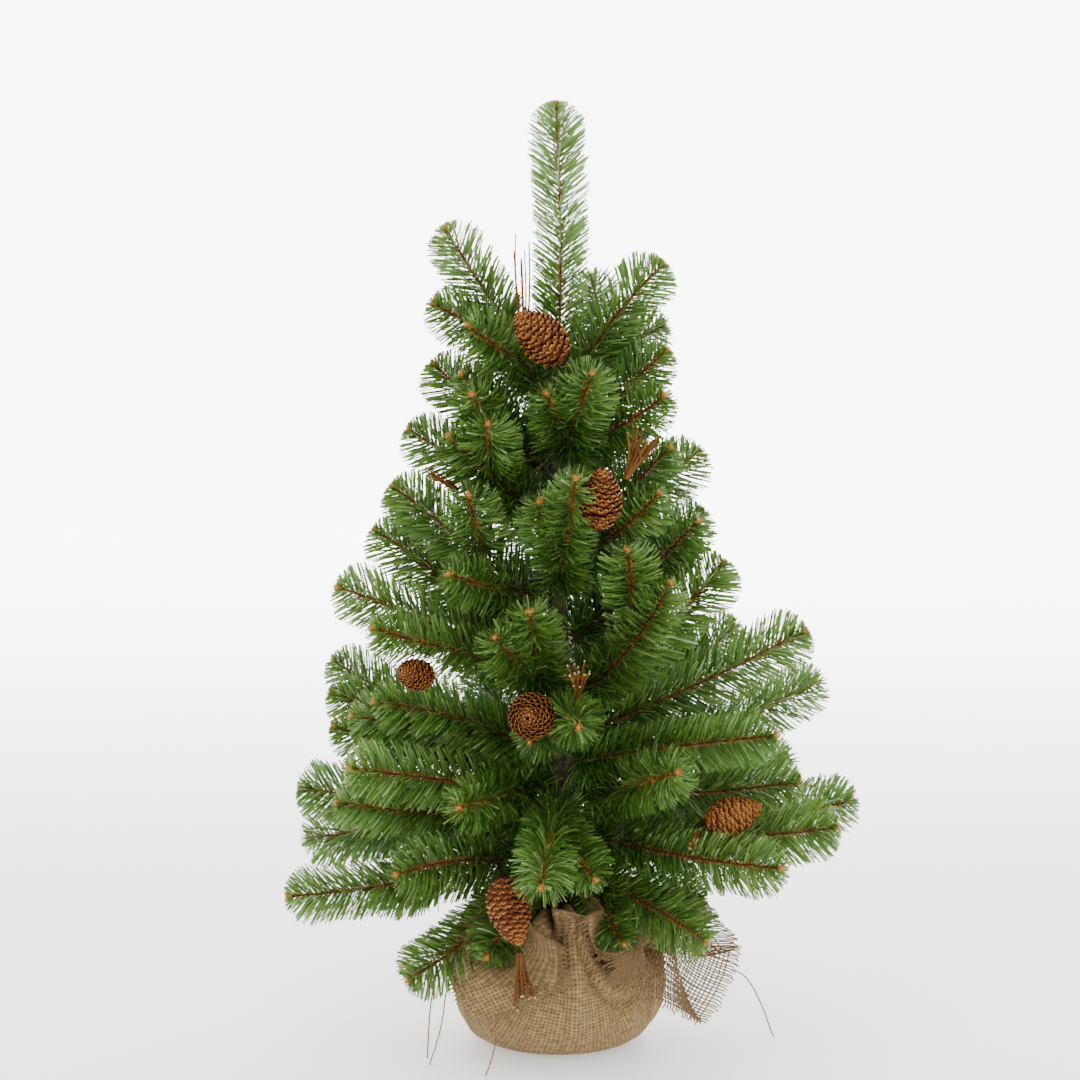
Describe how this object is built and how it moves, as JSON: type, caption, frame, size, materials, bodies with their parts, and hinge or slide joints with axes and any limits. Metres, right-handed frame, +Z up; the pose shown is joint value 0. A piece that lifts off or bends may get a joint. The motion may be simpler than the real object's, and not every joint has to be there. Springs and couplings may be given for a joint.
{
  "type": "artificial tabletop tree",
  "caption": "Small artificial fir on a burlap-wrapped weighted pot, with bendable wire branches, natural cones and dry twigs.",
  "frame": {"origin": "centre of the base's flat underside", "axes": "+Z up along the trunk, -Y towards the front of the tree, +X to the viewer's right"},
  "size_m": [0.365, 0.2924, 0.606],
  "materials": {
    "foliage": "satin",
    "burlap": "matte",
    "twine": "matte",
    "pot_plastic": "satin",
    "cement": "matte",
    "rod_steel": "satin",
    "trunk_tape": "matte",
    "cone_scales": "matte",
    "twig_bark": "matte"
  },
  "bodies": {
    "root": {"base_pot": "pot_plastic", "cement_weight": "cement", "trunk_rod": "rod_steel", "trunk_tape": "trunk_tape", "burlap_wrap": "burlap", "neck_tie": "twine", "cone_top": "cone_scales", "twigs_top": "twig_bark"},
    "branch_01_front_left": {"branch_01_front_left": "foliage"},
    "branch_02_front_right": {"branch_02_front_right": "foliage"},
    "branch_03_left": {"branch_03_left": "foliage"},
    "branch_04_back": {"branch_04_back": "foliage"},
    "branch_05_right": {"branch_05_right": "foliage", "cone_right": "cone_scales", "twigs_right": "twig_bark"},
    "branch_06_back_right": {"branch_06_back_right": "foliage"},
    "branch_07_back_left": {"branch_07_back_left": "foliage"},
    "branch_08_front": {"branch_08_front": "foliage", "cone_low_front": "cone_scales", "twigs_low_front": "twig_bark"},
    "branch_09_left": {"branch_09_left": "foliage"},
    "branch_10_right": {"branch_10_right": "foliage"},
    "branch_11_front_left": {"branch_11_front_left": "foliage"},
    "branch_12_back": {"branch_12_back": "foliage"},
    "branch_13_left": {"branch_13_left": "foliage"},
    "branch_14_right": {"branch_14_right": "foliage"},
    "branch_15_back_left": {"branch_15_back_left": "foliage"},
    "branch_16_front_left": {"branch_16_front_left": "foliage"},
    "branch_17_front": {"branch_17_front": "foliage", "cone_middle": "cone_scales", "twigs_middle": "twig_bark"},
    "branch_18_right": {"branch_18_right": "foliage"},
    "branch_19_back": {"branch_19_back": "foliage"},
    "branch_20_right": {"branch_20_right": "foliage"},
    "branch_21_left": {"branch_21_left": "foliage", "cone_left": "cone_scales"},
    "branch_22_front_left": {"branch_22_front_left": "foliage"},
    "branch_23_back_left": {"branch_23_back_left": "foliage"},
    "branch_24_left": {"branch_24_left": "foliage"},
    "branch_25_right": {"branch_25_right": "foliage", "twigs_back_right": "twig_bark"},
    "branch_26_front_left": {"branch_26_front_left": "foliage", "twigs_left": "twig_bark"},
    "branch_27_back": {"branch_27_back": "foliage"},
    "branch_28_front": {"branch_28_front": "foliage", "cone_upper_right": "cone_scales"},
    "branch_29_right": {"branch_29_right": "foliage", "twigs_upper_right": "twig_bark"},
    "branch_30_left": {"branch_30_left": "foliage"},
    "branch_31_back": {"branch_31_back": "foliage"},
    "branch_32_left": {"branch_32_left": "foliage"},
    "branch_33_right": {"branch_33_right": "foliage"},
    "branch_34_front": {"branch_34_front": "foliage"},
    "branch_35_back": {"branch_35_back": "foliage"},
    "branch_36_right": {"branch_36_right": "foliage"},
    "branch_37_left": {"branch_37_left": "foliage"},
    "leader": {"leader": "foliage"}
  },
  "joints": [
    {"name": "bend_01_front_left", "type": "hinge", "parent": "root", "child": "branch_01_front_left", "pos_m": [-0.00737, -0.00516, 0.118], "axis": [-0.5736, 0.8192, 0], "range_deg": [-3, 45]},
    {"name": "bend_02_front_right", "type": "hinge", "parent": "root", "child": "branch_02_front_right", "pos_m": [0.00737, -0.00516, 0.114], "axis": [-0.5736, -0.8192, 0], "range_deg": [-8, 17]},
    {"name": "bend_03_left", "type": "hinge", "parent": "root", "child": "branch_03_left", "pos_m": [-0.00873, -0.00218, 0.125], "axis": [-0.2419, 0.9703, 0], "range_deg": [-15, 21]},
    {"name": "bend_04_back", "type": "hinge", "parent": "root", "child": "branch_04_back", "pos_m": [0.00031, 0.00899, 0.12], "axis": [0.9994, -0.0349, 0], "range_deg": [-15, 30]},
    {"name": "bend_05_right", "type": "hinge", "parent": "root", "child": "branch_05_right", "pos_m": [0.00869, -0.00233, 0.132], "axis": [-0.2588, -0.9659, 0], "range_deg": [-15, 12]},
    {"name": "bend_06_back_right", "type": "hinge", "parent": "root", "child": "branch_06_back_right", "pos_m": [0.00689, 0.00579, 0.128], "axis": [0.6428, -0.766, 0], "range_deg": [-15, 16]},
    {"name": "bend_07_back_left", "type": "hinge", "parent": "root", "child": "branch_07_back_left", "pos_m": [-0.00689, 0.00579, 0.13], "axis": [0.6428, 0.766, 0], "range_deg": [-15, 19]},
    {"name": "bend_08_front", "type": "hinge", "parent": "root", "child": "branch_08_front", "pos_m": [-0.00078, -0.00897, 0.152], "axis": [-0.9962, 0.0872, 0], "range_deg": [-5, 45]},
    {"name": "bend_09_left", "type": "hinge", "parent": "root", "child": "branch_09_left", "pos_m": [-0.00899, -0.00031, 0.146], "axis": [-0.0349, 0.9994, 0], "range_deg": [-15, 24]},
    {"name": "bend_10_right", "type": "hinge", "parent": "root", "child": "branch_10_right", "pos_m": [0.00886, -0.00156, 0.166], "axis": [-0.1736, -0.9848, 0], "range_deg": [-11, 14]},
    {"name": "bend_11_front_left", "type": "hinge", "parent": "root", "child": "branch_11_front_left", "pos_m": [-0.00822, -0.00366, 0.164], "axis": [-0.4067, 0.9135, 0], "range_deg": [-15, 24]},
    {"name": "bend_12_back", "type": "hinge", "parent": "root", "child": "branch_12_back", "pos_m": [0.00156, 0.00886, 0.168], "axis": [0.9848, -0.1736, 0], "range_deg": [-15, 33]},
    {"name": "bend_13_left", "type": "hinge", "parent": "root", "child": "branch_13_left", "pos_m": [-0.00846, 0.00308, 0.174], "axis": [0.342, 0.9397, 0], "range_deg": [-15, 36]},
    {"name": "bend_14_right", "type": "hinge", "parent": "root", "child": "branch_14_right", "pos_m": [0.00816, -0.0038, 0.184], "axis": [-0.4226, -0.9063, 0], "range_deg": [-15, 15]},
    {"name": "bend_15_back_left", "type": "hinge", "parent": "root", "child": "branch_15_back_left", "pos_m": [-0.00554, 0.00709, 0.186], "axis": [0.788, 0.6157, 0], "range_deg": [-15, 29]},
    {"name": "bend_16_front_left", "type": "hinge", "parent": "root", "child": "branch_16_front_left", "pos_m": [-0.00886, -0.00156, 0.196], "axis": [-0.1736, 0.9848, 0], "range_deg": [-15, 10]},
    {"name": "bend_17_front", "type": "hinge", "parent": "root", "child": "branch_17_front", "pos_m": [0.0011, -0.00893, 0.214], "axis": [-0.9925, -0.1219, 0], "range_deg": [-15, 27]},
    {"name": "bend_18_right", "type": "hinge", "parent": "root", "child": "branch_18_right", "pos_m": [0.00897, -0.00078, 0.2], "axis": [-0.0872, -0.9962, 0], "range_deg": [-15, 21]},
    {"name": "bend_19_back", "type": "hinge", "parent": "root", "child": "branch_19_back", "pos_m": [0.0038, 0.00816, 0.222], "axis": [0.9063, -0.4226, 0], "range_deg": [-15, 32]},
    {"name": "bend_20_right", "type": "hinge", "parent": "root", "child": "branch_20_right", "pos_m": [0.00886, -0.00156, 0.226], "axis": [-0.1736, -0.9848, 0], "range_deg": [-15, 9]},
    {"name": "bend_21_left", "type": "hinge", "parent": "root", "child": "branch_21_left", "pos_m": [-0.00886, -0.00156, 0.24], "axis": [-0.1736, 0.9848, 0], "range_deg": [-15, 27]},
    {"name": "bend_22_front_left", "type": "hinge", "parent": "root", "child": "branch_22_front_left", "pos_m": [-0.00477, -0.00763, 0.232], "axis": [-0.848, 0.5299, 0], "range_deg": [-15, 34]},
    {"name": "bend_23_back_left", "type": "hinge", "parent": "root", "child": "branch_23_back_left", "pos_m": [-0.0045, 0.00779, 0.244], "axis": [0.866, 0.5, 0], "range_deg": [-15, 17]},
    {"name": "bend_24_left", "type": "hinge", "parent": "root", "child": "branch_24_left", "pos_m": [-0.00891, 0.00125, 0.256], "axis": [0.1392, 0.9903, 0], "range_deg": [-15, 19]},
    {"name": "bend_25_right", "type": "hinge", "parent": "root", "child": "branch_25_right", "pos_m": [0.00846, 0.00308, 0.262], "axis": [0.342, -0.9397, 0], "range_deg": [-15, 22]},
    {"name": "bend_26_front_left", "type": "hinge", "parent": "root", "child": "branch_26_front_left", "pos_m": [-0.00899, -0.00031, 0.284], "axis": [-0.0349, 0.9994, 0], "range_deg": [-15, 7]},
    {"name": "bend_27_back", "type": "hinge", "parent": "root", "child": "branch_27_back", "pos_m": [0.00078, 0.00897, 0.29], "axis": [0.9962, -0.0872, 0], "range_deg": [-15, 29]},
    {"name": "bend_28_front", "type": "hinge", "parent": "root", "child": "branch_28_front", "pos_m": [0.0011, -0.00893, 0.3], "axis": [-0.9925, -0.1219, 0], "range_deg": [-15, 28]},
    {"name": "bend_29_right", "type": "hinge", "parent": "root", "child": "branch_29_right", "pos_m": [0.00846, -0.00308, 0.306], "axis": [-0.342, -0.9397, 0], "range_deg": [-15, 14]},
    {"name": "bend_30_left", "type": "hinge", "parent": "root", "child": "branch_30_left", "pos_m": [-0.00895, -0.00094, 0.346], "axis": [-0.1045, 0.9945, 0], "range_deg": [-13, 13]},
    {"name": "bend_31_back", "type": "hinge", "parent": "root", "child": "branch_31_back", "pos_m": [0.00233, 0.00869, 0.344], "axis": [0.9659, -0.2588, 0], "range_deg": [-15, 29]},
    {"name": "bend_32_left", "type": "hinge", "parent": "root", "child": "branch_32_left", "pos_m": [-0.00886, 0.00156, 0.374], "axis": [0.1736, 0.9848, 0], "range_deg": [-15, 19]},
    {"name": "bend_33_right", "type": "hinge", "parent": "root", "child": "branch_33_right", "pos_m": [0.00869, -0.00233, 0.38], "axis": [-0.2588, -0.9659, 0], "range_deg": [-10, 23]},
    {"name": "bend_34_front", "type": "hinge", "parent": "root", "child": "branch_34_front", "pos_m": [0.00278, -0.00856, 0.384], "axis": [-0.9511, -0.309, 0], "range_deg": [-15, 20]},
    {"name": "bend_35_back", "type": "hinge", "parent": "root", "child": "branch_35_back", "pos_m": [0.00308, 0.00846, 0.402], "axis": [0.9397, -0.342, 0], "range_deg": [-15, 25]},
    {"name": "bend_36_right", "type": "hinge", "parent": "root", "child": "branch_36_right", "pos_m": [0.00899, 0.00031, 0.43], "axis": [0.0349, -0.9994, 0], "range_deg": [-15, 24]},
    {"name": "bend_37_left", "type": "hinge", "parent": "root", "child": "branch_37_left", "pos_m": [-0.00899, 0.00031, 0.422], "axis": [0.0349, 0.9994, 0], "range_deg": [-15, 19]},
    {"name": "bend_leader", "type": "hinge", "parent": "root", "child": "leader", "pos_m": [0, 0, 0.4545], "axis": [0, 1, 0], "range_deg": [-15, 15]}
  ]
}
